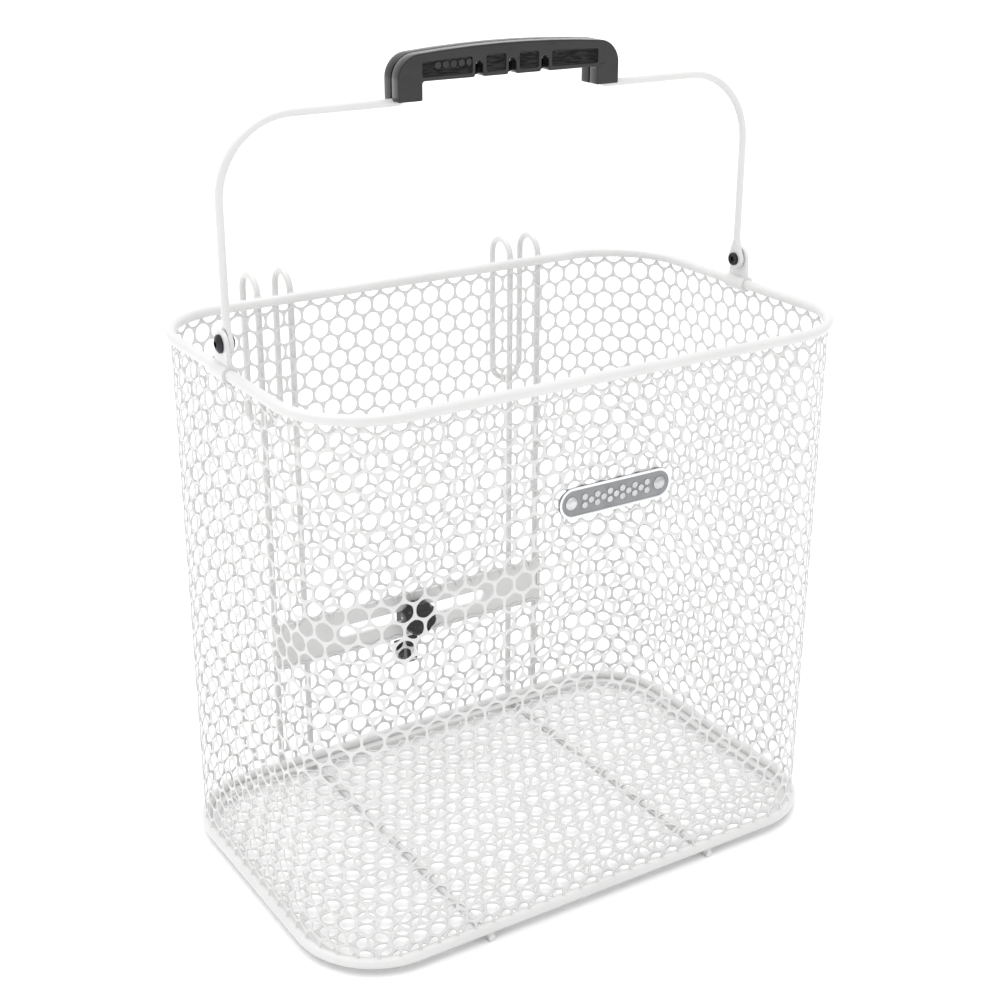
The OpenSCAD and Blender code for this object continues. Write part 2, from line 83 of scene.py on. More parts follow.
# ---------- places read from the frame ----------

def middle(node):
    """Middle of a CAD node's box, as an array."""
    low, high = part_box(node)
    return (np.array(low) + np.array(high)) / 2


def extent(node):
    """Size of a CAD node's box, as an array."""
    low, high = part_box(node)
    return np.array(high) - np.array(low)


RIM_Z = middle("top_rim")[2]
RING_Z = middle("bottom_ring")[2]
WIRE_R = extent("top_rim")[2] / 2
HALF_W = extent("top_rim")[0] / 2 - WIRE_R
HALF_D = extent("top_rim")[1] / 2 - WIRE_R
FLAT_W = extent("front_wall_mesh")[0]
FLAT_D = extent("left_wall_mesh")[1]
CORNER_R = HALF_W - FLAT_W / 2
SHEET_T = extent("front_wall_mesh")[1]
GIRTH = 2 * (FLAT_W + FLAT_D) + 2 * math.pi * CORNER_R


# ---------- surfaces ----------

def outline(along, out=0.0):
    """Points of the basket's rounded rectangle, and its outward directions.

    along is the distance round it from the middle of the front, to the right. The core point and the heading
    are each piecewise linear in that distance: on a flat the core point moves along one side of the inner
    rectangle, and on a corner the heading turns through 90 degrees about it. The point is the core point plus
    (corner radius + out) times the heading.
    """
    arc = math.pi / 2 * CORNER_R
    w, d = FLAT_W / 2, FLAT_D / 2
    steps = [w, arc, FLAT_D, arc, FLAT_W, arc, FLAT_D, arc, w]
    marks = np.concatenate([[0], np.cumsum(steps)])
    core_x = [0, w, w, w, w, -w, -w, -w, -w, 0]
    core_y = [-d, -d, -d, d, d, d, d, -d, -d, -d]
    turn = np.radians([-90, -90, 0, 0, 90, 90, 180, 180, 270, 270])
    along = np.mod(along, GIRTH)
    heading = np.interp(along, marks, turn)
    reach = CORNER_R + out
    x = np.interp(along, marks, core_x) + reach * np.cos(heading)
    y = np.interp(along, marks, core_y) + reach * np.sin(heading)
    return x, y


def grid_quads(rows, columns, close_rows=False, close_columns=True):
    """Quads of a grid of points stored row by row, closed on itself in either direction."""
    i = np.arange(rows if close_rows else rows - 1)[:, None]
    j = np.arange(columns if close_columns else columns - 1)[None, :]
    a = i * columns + j
    b = i * columns + (j + 1) % columns
    c = (i + 1) % rows * columns + (j + 1) % columns
    d = (i + 1) % rows * columns + j
    return np.stack(np.broadcast_arrays(a, b, c, d), axis=-1).reshape(-1, 4)


def new_piece(name, points, faces, body, slot, replaces=()):
    """A mesh piece with its place in its mesh, riding on a body."""
    mesh = bpy.data.meshes.new(name)
    mesh.from_pydata(np.asarray(points).reshape(-1, 3).tolist(), [], [list(f) for f in faces])
    piece = bpy.data.objects.new(name, mesh)
    bpy.context.scene.collection.objects.link(piece)
    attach(piece, body)
    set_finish(piece, slot)
    if replaces:
        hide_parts(*replaces)
    return piece


def finish_mesh(piece, sharp_degrees, recalculate=True):
    """Merges doubles, points the faces outwards and shades smooth up to an angle."""
    mesh = piece.data
    bm = bmesh.new()
    bm.from_mesh(mesh)
    bmesh.ops.remove_doubles(bm, verts=bm.verts, dist=1e-7)
    if recalculate:
        bmesh.ops.recalc_face_normals(bm, faces=bm.faces)
    bm.to_mesh(mesh)
    bm.free()
    mesh.shade_smooth()
    mesh.set_sharp_from_angle(angle=math.radians(sharp_degrees))
    return piece


def rounded_polygon(corners, radii, inset, steps, between=0):
    """Points of a polygon with rounded corners, drawn an inset inside it.

    The corners run anticlockwise. Each side moves inwards by the inset, so a corner's arc loses the inset from
    its radius where the corner points out, and gains it where the corner points in. Each side between two arcs
    gets a number of evenly spaced points, so that it can be bent afterwards.
    """
    corners = np.asarray(corners, float)
    before = corners - np.roll(corners, 1, axis=0)
    before /= np.linalg.norm(before, axis=1)[:, None]
    after = np.roll(before, -1, axis=0)
    normal_1 = np.stack([-before[:, 1], before[:, 0]], axis=1)
    normal_2 = np.stack([-after[:, 1], after[:, 0]], axis=1)
    cosine = (before * after).sum(1)
    bend = np.arctan2(before[:, 0] * after[:, 1] - before[:, 1] * after[:, 0], cosine)
    way = np.sign(bend)
    mitre = corners + inset * (normal_1 + normal_2) / (1 + cosine)[:, None]
    radius = np.maximum(np.asarray(radii) - way * inset, 0.25 * MM)
    tangent = radius * np.tan(np.abs(bend) / 2)
    centre = mitre - before * tangent[:, None] + normal_1 * (way * radius)[:, None]
    start = np.arctan2(-way * normal_1[:, 1], -way * normal_1[:, 0])
    angle = start[:, None] + bend[:, None] * np.linspace(0, 1, steps + 1)
    spokes = np.stack([np.cos(angle), np.sin(angle)], axis=-1) * radius[:, None, None]
    arcs = centre[:, None, :] + spokes
    side_start, side_end = arcs[:, -1:], np.roll(arcs[:, :1], -1, axis=0)
    share = np.arange(1, between + 1)[None, :, None] / (between + 1)
    sides = side_start + (side_end - side_start) * share
    return np.concatenate([arcs, sides], axis=1).reshape(-1, 2)


class Shell:
    """A closed solid built from rings of points: quads between rings, and triangles over the flat ends."""

    def __init__(self):
        self.bm = bmesh.new()

    def ring(self, points):
        """A closed loop of points in space, as its vertices."""
        return [self.bm.verts.new(p) for p in np.asarray(points).tolist()]

    def join(self, rings, material=0):
        """Quads between each ring and the next."""
        for a, b in zip(rings, rings[1:]):
            for k in range(len(a)):
                face = self.bm.faces.new((a[k - 1], a[k], b[k], b[k - 1]))
                face.material_index = material

    def cap(self, rings, material=0):
        """Fills the flat area inside the first ring and outside the others.

        The filling's tolerance is too coarse for points given in metres, so it is done in millimetres.
        """
        corners = [corner for ring in rings for corner in ring]
        bmesh.ops.scale(self.bm, vec=[1 / MM] * 3, verts=corners)
        edges = []
        for ring in rings:
            for k in range(len(ring)):
                pair = (ring[k - 1], ring[k])
                edges.append(self.bm.edges.get(pair) or self.bm.edges.new(pair))
        made = bmesh.ops.triangle_fill(self.bm, use_beauty=True, use_dissolve=False, edges=edges)
        bmesh.ops.scale(self.bm, vec=[MM] * 3, verts=corners)
        for item in made["geom"]:
            if isinstance(item, bmesh.types.BMFace):
                item.material_index = material

    def lathe(self, rings, material=0):
        """A closed form whose first and last rings are both capped."""
        self.join(rings, material)
        self.cap([rings[0]], material)
        self.cap([rings[-1]], material)

    def piece(self, name, body, slot, replaces, sharp_degrees):
        """The finished object."""
        bmesh.ops.recalc_face_normals(self.bm, faces=self.bm.faces)
        piece = new_piece(name, [], [], body, slot, replaces)
        self.bm.to_mesh(piece.data)
        self.bm.free()
        piece.data.shade_smooth()
        piece.data.set_sharp_from_angle(angle=math.radians(sharp_degrees))
        return piece


# ---------- honeycomb ----------

CELL_POINTS = 18


def cell_grid(low, high, pitch, shift):
    """Centres of honeycomb cells whose rows run along the first direction, between two corners.

    Rows are pitch times half the square root of 3 apart, and every second row is moved by half a pitch.
    """
    step = pitch * math.sqrt(3) / 2
    rows = np.arange(math.floor((low[1] - shift[1]) / step), math.ceil((high[1] - shift[1]) / step) + 1)
    columns = np.arange(math.floor((low[0] - shift[0]) / pitch) - 1, math.ceil((high[0] - shift[0]) / pitch) + 1)
    j, i = np.meshgrid(rows, columns, indexing="ij")
    u = (i + np.mod(j, 2) / 2) * pitch + shift[0]
    v = j * step + shift[1]
    return u.ravel(), v.ravel()


def honeycomb(u, v, pitch, hole_r, thick, rounding):
    """Points (u, v, w) and quads of a honeycomb sheet with the given cell centres.

    A cell is four loops of 18 points. The outer two lie on the hexagon that it shares with its neighbours, at
    plus and minus half the thickness; its radius is half the pitch over the cosine of the angle from the middle
    of a side. The inner two are the hole's edge, pulled towards the middle plane so that the strands are
    rounded; the hole's radius swells by the rounding towards each corner of the hexagon.
    """
    angle = np.radians(30 + 20 * np.arange(CELL_POINTS))
    from_side = np.mod(angle + math.pi / 6, math.pi / 3) - math.pi / 6
    hexagon = pitch / 2 / np.cos(from_side)
    hole = hole_r * (1 - rounding * np.cos(6 * angle))
    radius = np.stack([hexagon, hole, hole, hexagon])
    height = thick * np.array([0.5, 0.26, -0.26, -0.5])
    points = np.empty((len(u), 4, CELL_POINTS, 3))
    points[..., 0] = u[:, None, None] + radius * np.cos(angle)
    points[..., 1] = v[:, None, None] + radius * np.sin(angle)
    points[..., 2] = height[:, None]
    points = points.reshape(-1, 3)

    grid = 0.01 * MM
    keys = np.floor(points / grid + 0.37).astype(np.int64)
    _, first, merged = np.unique(keys, axis=0, return_index=True, return_inverse=True)
    points = points[first]
    index = merged.reshape(len(u), 4, CELL_POINTS)
    after = np.roll(index, -1, axis=2)
    bands = np.stack([index[:, :3], after[:, :3], after[:, 1:], index[:, 1:]], axis=-1).reshape(-1, 4)

    rim = np.stack([index[:, 0], after[:, 0], after[:, 3], index[:, 3]], axis=-1).reshape(-1, 4)
    edge = np.sort(rim[:, :2], axis=1)
    _, place, count = np.unique(edge, axis=0, return_inverse=True, return_counts=True)
    walls = rim[count[place.ravel()] == 1][:, [1, 0, 3, 2]]
    return points, np.concatenate([bands, walls])


def trim(bm, planes):
    """Cuts a mesh by planes, each a point and a direction, and clears what lies beyond each."""
    for point, away in planes:
        geometry = bm.verts[:] + bm.edges[:] + bm.faces[:]
        bmesh.ops.bisect_plane(
            bm, geom=geometry, plane_co=point, plane_no=away, clear_outer=True, dist=1e-8
        )


def close_cuts(bm):
    """Fills every open loop that the cuts left."""
    edges = [e for e in bm.edges if len(e.link_faces) == 1]
    bmesh.ops.holes_fill(bm, edges=edges, sides=0)
    flat = [f for f in bm.faces if len(f.verts) > 4]
    bmesh.ops.triangulate(bm, faces=flat)


def cut_window(bm, middle_x, middle_z, half_x, half_z, behind_y):
    """Takes a rectangular window out of the back wall."""
    margin = 0.02
    def inside(co, spare):
        return co.y > behind_y and abs(co.x - middle_x) < half_x + spare and abs(co.z - middle_z) < half_z + spare
    planes = [
        (Vector((middle_x + s * half_x, 0, 0)), Vector((s, 0, 0))) for s in (-1, 1)
    ] + [
        (Vector((0, 0, middle_z + s * half_z)), Vector((0, 0, s))) for s in (-1, 1)
    ]
    for point, away in planes:
        faces = [f for f in bm.faces if inside(f.calc_center_median(), margin)]
        edges = list({e for f in faces for e in f.edges})
        verts = list({v for f in faces for v in f.verts})
        bmesh.ops.bisect_plane(bm, geom=verts + edges + faces, plane_co=point, plane_no=away, dist=1e-8)
    gone = [f for f in bm.faces if inside(f.calc_center_median(), 0)]
    bmesh.ops.delete(bm, geom=gone, context="FACES")


# ---------- shader trees ----------

class Signal:
    """One value in a shader tree. Arithmetic on it adds Math nodes."""

    def __init__(self, finish, socket):
        self.finish = finish
        self.socket = socket

    def _math(self, operation, *terms):
        return self.finish.node("ShaderNodeMath", {"operation": operation}, dict(enumerate(terms)))

    def __add__(self, other):
        return self._math("ADD", self, other)

    def __sub__(self, other):
        return self._math("SUBTRACT", self, other)

    def __rsub__(self, other):
        return self._math("SUBTRACT", other, self)

    def __mul__(self, other):
        return self._math("MULTIPLY", self, other)

    __radd__ = __add__
    __rmul__ = __mul__

    def ramp(self, low, high):
        """0 at low and 1 at high, eased between them."""
        settings = {"interpolation_type": "SMOOTHSTEP"}
        return self.finish.node("ShaderNodeMapRange", settings, {"Value": self, "From Min": low, "From Max": high})


class Finish:
    """A material whose Principled shader is fed by expressions."""

    def __init__(self, name, **settings):
        self.material = bpy.data.materials.new(name)
        self.material.use_nodes = True
        self.tree = self.material.node_tree
        self.shader = self.tree.nodes["Principled BSDF"]
        self.place = self.node("ShaderNodeTexCoord", {}, {}, "Object")
        for socket, value in settings.items():
            self.feed(self.shader.inputs[socket.replace("_", " ")], value)

    def node(self, kind, settings, sockets, output=0):
        """Adds a node, sets it up, gives its sockets their values or links, and returns one output."""
        made = self.tree.nodes.new(kind)
        for key, value in settings.items():
            setattr(made, key, value)
        for key, value in sockets.items():
            self.feed(made.inputs[key], value)
        return Signal(self, made.outputs[output])

    def feed(self, socket, value):
        """Links a Signal to a socket, or sets its value."""
        if isinstance(value, Signal):
            self.tree.links.new(value.socket, socket)
        else:
            socket.default_value = value

    def noise(self, scale, detail=3.0, stretch=(1, 1, 1)):
        """Fractal noise on the object's own coordinates, with features of about 1/scale metres."""
        place = self.node(
            "ShaderNodeMapping", {}, {"Vector": self.place, "Scale": tuple(scale * s for s in stretch)}
        )
        return self.node("ShaderNodeTexNoise", {}, {"Vector": place, "Scale": 1.0, "Detail": detail})

    def mix(self, factor, a, b):
        """Colour a where the factor is 0 and b where it is 1."""
        colours = {0: factor, 6: a, 7: b}
        return self.node("ShaderNodeMix", {"data_type": "RGBA"}, colours, 2)

    def edges(self, radius):
        """1 on sharp edges and 0 on flats, from the angle between the normal and a rounded normal."""
        soft = self.node("ShaderNodeBevel", {"samples": 4}, {"Radius": radius})
        normal = self.node("ShaderNodeNewGeometry", {}, {}, "Normal")
        facing = self.node("ShaderNodeVectorMath", {"operation": "DOT_PRODUCT"}, {0: soft, 1: normal}, "Value")
        return (1 - facing).ramp(0.01, 0.2)

    def open_air(self, reach):
        """1 on open faces and 0 in creases narrower than the reach."""
        shut = self.node("ShaderNodeAmbientOcclusion", {"samples": 6}, {"Distance": reach}, "AO")
        return shut.ramp(0.45, 0.9)

    def bump(self, height, distance, strength=1.0):
        """Raises the surface by the height signal times the distance."""
        sockets = {"Height": height, "Distance": distance, "Strength": strength}
        self.feed(self.shader.inputs["Normal"], self.node("ShaderNodeBump", {}, sockets))


def shade(colour, factor):
    """A colour times a factor, with full alpha."""
    return tuple(c * factor for c in colour[:3]) + (1.0,)


def coated_wire(name, colour):
    """White powder coat on wire and plate: an even tone, faint clouds, orange peel and rubbed edges."""
    finish = Finish(name, Coat_Roughness=0.12, IOR=1.5)
    clouds = finish.noise(30, 4)
    specks = finish.noise(900, 2).ramp(0.70, 0.78)
    tone = finish.mix(clouds.ramp(0.3, 0.7), shade(colour, 1.0), shade(colour, 0.95))
    worn = finish.edges(0.5 * MM) * finish.noise(220, 3).ramp(0.52, 0.72)
    tone = finish.mix(worn * 0.35, tone, shade(colour, 0.72))
    finish.feed(finish.shader.inputs["Base Color"], finish.mix(specks * 0.25, tone, shade(colour, 0.8)))
    finish.feed(finish.shader.inputs["Roughness"], finish.noise(80, 3) * 0.16 + 0.26)
    finish.feed(finish.shader.inputs["Coat Weight"], 0.25 + clouds * 0.2)
    finish.bump(finish.noise(700, 2), 0.05 * MM, 0.5)
    return finish.material


def coated_mesh(name, colour):
    """The same coat on the honeycomb, thinner on the strands, so its tone varies a little from cell to cell."""
    finish = Finish(name, Coat_Roughness=0.15, IOR=1.5)
    clouds = finish.noise(24, 3)
    drips = finish.noise(240, 3)
    tone = finish.mix(clouds.ramp(0.3, 0.7), shade(colour, 1.0), shade(colour, 0.94))
    varied = finish.mix(drips.ramp(0.6, 0.75) * 0.3, tone, shade(colour, 0.86))
    finish.feed(finish.shader.inputs["Base Color"], varied)
    finish.feed(finish.shader.inputs["Roughness"], drips * 0.2 + 0.28)
    finish.feed(finish.shader.inputs["Coat Weight"], clouds * 0.3 + 0.1)
    finish.bump(drips, 0.06 * MM, 0.6)
    return finish.material


def glossy_plastic(name, colour):
    """Glossy black moulded plastic: faint flow clouds, fine scuffs, paler edges, and duller creases darkened by
    painted shade.
    """
    finish = Finish(name, IOR=1.3, Coat_Roughness=0.1)
    flow = finish.noise(60, 3, (1, 2, 2))
    scuffs = finish.noise(500, 4, (0.2, 1, 1)).ramp(0.62, 0.74)
    # painted shade: the occlusion mask darkens the base colour in creases; sharp edges also lower this mask, so they
    # get a darker base and more roughness
    unshaded_unrubbed = finish.open_air(2.2 * MM) * (1 - finish.edges(0.5 * MM) * 0.7)
    tone = finish.mix(flow.ramp(0.3, 0.7), shade(colour, 0.8), shade(colour, 1.3))
    tone = finish.mix(unshaded_unrubbed, shade(colour, 0.15), tone)
    finish.feed(finish.shader.inputs["Base Color"], tone)
    finish.feed(finish.shader.inputs["Roughness"], flow * 0.08 + scuffs * 0.12 + (0.62 - unshaded_unrubbed * 0.4))
    finish.feed(finish.shader.inputs["Coat Weight"], unshaded_unrubbed * (0.5 - scuffs * 0.2))
    finish.bump(finish.noise(400, 2), 0.02 * MM, 0.4)
    return finish.material


def grained_plastic(name, colour):
    """The grip's sunk panel: the same plastic without its shine, with a brushed grain along the grip."""
    finish = Finish(name, IOR=1.25)
    grain = finish.noise(1400, 3, (0.12, 1, 1))
    clouds = finish.noise(90, 3)
    tone = finish.mix(grain.ramp(0.42, 0.62), shade(colour, 0.2), shade(colour, 2.2))
    finish.feed(finish.shader.inputs["Base Color"], tone)
    finish.feed(finish.shader.inputs["Roughness"], clouds * 0.15 + 0.5)
    finish.bump(grain, 0.1 * MM, 0.7)
    return finish.material


def satin_nylon(name, colour):
    """Glass-filled nylon: satin, with pale fibre flecks and rubbed edges."""
    finish = Finish(name, IOR=1.52)
    flecks = finish.noise(1100, 2, (1, 0.3, 1)).ramp(0.62, 0.74)
    clouds = finish.noise(70, 3)
    edge = finish.edges(0.5 * MM) * finish.noise(260, 3).ramp(0.4, 0.65)
    tone = finish.mix(clouds.ramp(0.3, 0.7), shade(colour, 0.8), shade(colour, 1.25))
    tone = finish.mix(flecks * 0.35, tone, shade(colour, 2.5))
    finish.feed(finish.shader.inputs["Base Color"], finish.mix(edge * 0.5, tone, shade(colour, 3.5)))
    finish.feed(finish.shader.inputs["Roughness"], clouds * 0.14 + 0.36)
    finish.bump(finish.noise(900, 3), 0.05 * MM, 0.6)
    return finish.material


def plated_steel(name, colour, roughness, stretch):
    """Plated steel with fine tooling lines, cloudy plating and edges rubbed bright."""
    finish = Finish(name, Metallic=1.0)
    lines = finish.noise(900, 3, stretch)
    clouds = finish.noise(120, 4)
    edge = finish.edges(0.3 * MM) * finish.noise(400, 3).ramp(0.35, 0.6)
    tone = finish.mix(clouds.ramp(0.3, 0.7), shade(colour, 0.8), shade(colour, 1.1))
    finish.feed(finish.shader.inputs["Base Color"], finish.mix(edge * 0.6, tone, shade(colour, 1.6)))
    finish.feed(finish.shader.inputs["Roughness"], clouds * 0.12 + lines * 0.14 + (roughness - 0.1))
    finish.bump(lines, 0.03 * MM, 0.5)
    return finish.material


def badge_metal(name, colour, field_y):
    """Badge metal: raised faces polished, the sunk field satin and darker, its creases painted nearly black as
    shade.
    """
    finish = Finish(name, Metallic=1.0)
    depth = finish.node("ShaderNodeSeparateXYZ", {}, {0: finish.place}, "Y")
    raised = 1 - (depth - (field_y - 0.39 * MM)).ramp(0.0, 0.27 * MM)
    lines = finish.noise(900, 3, (0.08, 1, 1))
    clouds = finish.noise(120, 4)
    # painted shade: the occlusion mask turns the creases nearly black
    unshaded_unrubbed = finish.open_air(1.1 * MM)
    tone = finish.mix(raised, shade(colour, 0.48), shade(colour, 1.7))
    tone = finish.mix(clouds.ramp(0.3, 0.7) * 0.3, tone, shade(colour, 0.8))
    finish.feed(finish.shader.inputs["Base Color"], finish.mix(unshaded_unrubbed, shade(colour, 0.1), tone))
    finish.feed(finish.shader.inputs["Roughness"], clouds * 0.1 + lines * 0.12 + (0.38 - raised * 0.15))
    finish.bump(lines, 0.03 * MM, 0.5)
    return finish.material


# ---------- settings ----------

def length(name, description, default):
    """A length property in metres."""
    return FloatProperty(
        name=name, description=description, default=default, min=0.0, unit="LENGTH", subtype="DISTANCE"
    )


def tint(name, description, default):
    """A colour property."""
    return FloatVectorProperty(
        name=name, description=description, default=default, size=3, subtype="COLOR", min=0, max=1
    )


class PannierMesh(bpy.types.PropertyGroup):
    """Sizes of the honeycomb sheet"""

    round_cells: IntProperty(
        name="Cells round", description="Cells in one row round the basket", default=88, min=20
    )
    strand: length("Strand width", "Width of the metal left between two holes", 1.22 * MM)
    rounding: FloatProperty(
        name="Corner swell", description="Share by which a hole swells at its corners", default=0.015
    )
    row_shift: length("Row shift", "Height of the first row of cells above the bottom ring", 4 * MM)
    column_shift: length("Column shift", "How far the first cell is from the middle of the front", 2 * MM)
    floor_inset: length("Floor inset", "How far the floor sheet stops short of the ring's middle", 2 * MM)
    bury: length("Bury", "How far the sheet's cut edge stops short of a wire's middle", 1 * MM)
    window_lap: length("Window lap", "How far the sheet laps over the plate round its window", 3 * MM)
    hem_width: length("Hem width", "Width of the flat hem inside the bottom ring", 5.5 * MM)
    hem_rise: length("Hem rise", "How far the hem stands above the floor sheet", 0.4 * MM)


class PannierWelds(bpy.types.PropertyGroup):
    """Sizes of the weld beads"""

    spread: length("Spread", "Half width of a bead along the wires", 3.2 * MM)
    swell: length("Swell", "Half thickness of a bead", 1.1 * MM)


class PannierGrip(bpy.types.PropertyGroup):
    """Sizes of the grip's shells"""

    leg: length("Leg width", "Width of each leg", 14 * MM)
    finger_gap: length("Finger gap", "Height of the gap between the legs", 9.5 * MM)
    arch: length("Arch", "Rise of the top in the middle", 3.5 * MM)
    shoulder: length("Shoulder radius", "Radius of the two shoulders", 11 * MM)
    edge: length("Edge radius", "Radius of the rounded outer edges", 0.7 * MM)
    border: length("Border", "Width of the raised line under and beside a panel", 1.7 * MM)
    ledge: length("Ledge", "Width of the plain band over the panel", 3.9 * MM)
    sink: length("Panel depth", "Depth of the sunk panel", 0.9 * MM)
    notch_w: length("Notch width", "Width of a notch", 4.5 * MM)
    notch_h: length("Notch height", "Height of a notch", 6.25 * MM)
    notch_pitch: length("Notch pitch", "Distance between the notches", 20 * MM)


class PannierBadge(bpy.types.PropertyGroup):
    """Sizes of the badge"""

    border: length("Border", "Width of the raised border", 1.0 * MM)
    slope: length("Slope", "Width of the slope inside the border", 0.7 * MM)
    dish: length("Dish", "Depth of the field below the border", 0.42 * MM)
    stud: length("Hexagon size", "Radius of the small raised hexagons", 2.0 * MM)


class PannierKnob(bpy.types.PropertyGroup):
    """Sizes of the clamp knob"""

    scallops: IntProperty(name="Scallops", description="Number of finger scallops", default=8, min=3)
    scallop: length("Scallop depth", "Depth of a finger scallop", 1.0 * MM)
    round: length("Edge radius", "Radius of the front edge", 2.0 * MM)


class PannierFinish(bpy.types.PropertyGroup):
    """Colours of the finishes"""

    coat: tint("Coat", "White powder coat", (0.66, 0.66, 0.656))
    plastic: tint("Plastic", "Black moulded plastic", (0.010, 0.010, 0.011))
    nylon: tint("Nylon", "Black nylon", (0.016, 0.016, 0.017))
    black_steel: tint("Black steel", "Black plated steel", (0.045, 0.045, 0.05))
    bright_steel: tint("Bright steel", "Zinc plated steel", (0.60, 0.60, 0.62))
    badge: tint("Badge", "Brushed badge metal", (0.50, 0.51, 0.52))
    brass: tint("Brass", "Turned brass", (0.72, 0.53, 0.24))
    floor: tint("Floor", "Studio floor", (0.97, 0.97, 0.97))


class PannierStudio(bpy.types.PropertyGroup):
    """Camera and light"""

    camera: FloatVectorProperty(
        name="Camera", description="Place of the camera", default=(-0.4737, -0.7431, 0.5652), subtype="TRANSLATION"
    )
    heading: FloatProperty(name="Heading", description="Turn of the view from +Y", default=-32.40, unit="NONE")
    dip: FloatProperty(name="Dip", description="Downward tilt of the view in degrees", default=22.26)
    roll: FloatProperty(name="Roll", description="Roll of the view in degrees", default=0.21)
    lens: FloatProperty(name="Lens", description="Focal length in millimetres on a 36 mm sensor", default=60.24)
    sky: FloatProperty(name="Sky", description="Strength of the white surroundings", default=1.02)
    sun: FloatProperty(name="Overhead light", description="Strength of the wide overhead light", default=1.6)
    spread: FloatProperty(name="Overhead spread", description="Angle of the overhead light in degrees", default=70.0)


# ---------- pieces ----------

def wall_piece(name, first, last, replaced, window=None):
    """A stretch of the honeycomb wall between two distances round the basket, cut inside the two wires."""
    sizes = bpy.context.scene.pannier_mesh
    pitch = GIRTH / sizes.round_cells
    low, high = RING_Z + sizes.bury, RIM_Z - sizes.bury
    u, v = cell_grid((first, low), (last, high), pitch, (sizes.column_shift, RING_Z + sizes.row_shift))
    kept = (u >= first) & (u < last) & (v > low - pitch) & (v < high + pitch)
    points, quads = honeycomb(u[kept], v[kept], pitch, (pitch - sizes.strand) / 2, SHEET_T, sizes.rounding)
    x, y = outline(points[:, 0], points[:, 2])
    piece = new_piece(name, np.stack([x, y, points[:, 1]], axis=1), quads, "basket", "coated_mesh", replaced)
    bm = bmesh.new()
    bm.from_mesh(piece.data)
    trim(bm, [(Vector((0, 0, low)), Vector((0, 0, -1))), (Vector((0, 0, high)), Vector((0, 0, 1)))])
    if window:
        cut_window(bm, *window)
    close_cuts(bm)
    bm.to_mesh(piece.data)
    bm.free()
    piece.data.shade_smooth()
    piece.data.set_sharp_from_angle(angle=math.radians(80))
    return piece


class PANNIER_OT_walls(bpy.types.Operator):
    """Build the honeycomb walls in two stretches"""

    bl_idname = "pannier.walls"
    bl_label = "Build walls"

    def execute(self, context):
        sizes = context.scene.pannier_mesh
        arc = math.pi / 2 * CORNER_R
        reach = FLAT_W / 2 + arc + FLAT_D
        front = [f"{side}_wall_mesh" for side in ("front", "left", "right")]
        front += ["front_left_corner_mesh", "front_right_corner_mesh"]
        wall_piece("front_honeycomb", -reach, reach, front)
        plate, place = extent("clamp_plate"), middle("clamp_plate")
        window = (
            place[0], place[2], plate[0] / 2 - sizes.window_lap, plate[2] / 2 - sizes.window_lap, HALF_D - CORNER_R
        )
        back = ["back_wall_mesh", "back_left_corner_mesh", "back_right_corner_mesh"]
        wall_piece("back_honeycomb", reach, GIRTH - reach, back, window)
        return {"FINISHED"}


class PANNIER_OT_floor(bpy.types.Operator):
    """Build the honeycomb floor and its hem"""

    bl_idname = "pannier.floor"
    bl_label = "Build floor"

    def execute(self, context):
        sizes = context.scene.pannier_mesh
        pitch = GIRTH / sizes.round_cells
        low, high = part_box("floor_mesh")
        u, v = cell_grid((low.x, low.y), (high.x, high.y), pitch, (0.0, 0.0))
        kept = (np.abs(u) < high.x + pitch) & (np.abs(v) < high.y + pitch)
        points, quads = honeycomb(u[kept], v[kept], pitch, (pitch - sizes.strand) / 2, SHEET_T, sizes.rounding)
        points[:, 2] += (low.z + high.z) / 2
        piece = new_piece("floor_honeycomb", points, quads, "basket", "coated_mesh", ["floor_mesh"])
        arc = math.pi / 2 * CORNER_R
        corner_starts = np.cumsum([FLAT_W / 2, arc + FLAT_D, arc + FLAT_W, arc + FLAT_D])
        side_middles = np.array([0, FLAT_W / 2 + arc + FLAT_D / 2, GIRTH / 2])
        side_middles = np.append(side_middles, GIRTH - side_middles[1])
        fans = (corner_starts[:, None] + arc * (np.arange(6) + 0.5) / 6).ravel()
        along = np.concatenate([side_middles, fans])
        x, y = outline(along, -sizes.floor_inset)
        x_out, y_out = outline(along)
        planes = [
            (Vector((x[k], y[k], 0)), Vector((x_out[k] - x[k], y_out[k] - y[k], 0)).normalized())
            for k in range(len(along))
        ]
        bm = bmesh.new()
        bm.from_mesh(piece.data)
        trim(bm, planes)
        close_cuts(bm)
        bm.to_mesh(piece.data)
        bm.free()
        piece.data.shade_smooth()
        piece.data.set_sharp_from_angle(angle=math.radians(80))

        marks = (corner_starts[:, None] + arc * np.arange(17) / 16).ravel()
        top = high.z + sizes.hem_rise
        inner = -(sizes.floor_inset + sizes.hem_width)
        outer = -0.5 * MM
        soft = 0.3 * MM
        profile = np.array([
            (outer, low.z), (inner + soft, low.z), (inner, low.z + soft), (inner, top - soft),
            (inner + soft, top), (outer, top),
        ])
        x, y = outline(marks[:, None], profile[None, :, 0])
        z = np.broadcast_to(profile[None, :, 1], x.shape)
        quads = grid_quads(len(marks), len(profile), True, True)
        hem = new_piece("floor_hem", np.stack([x, y, z], axis=-1), quads, "basket", "coated_mesh")
        finish_mesh(hem, 50)
        return {"FINISHED"}


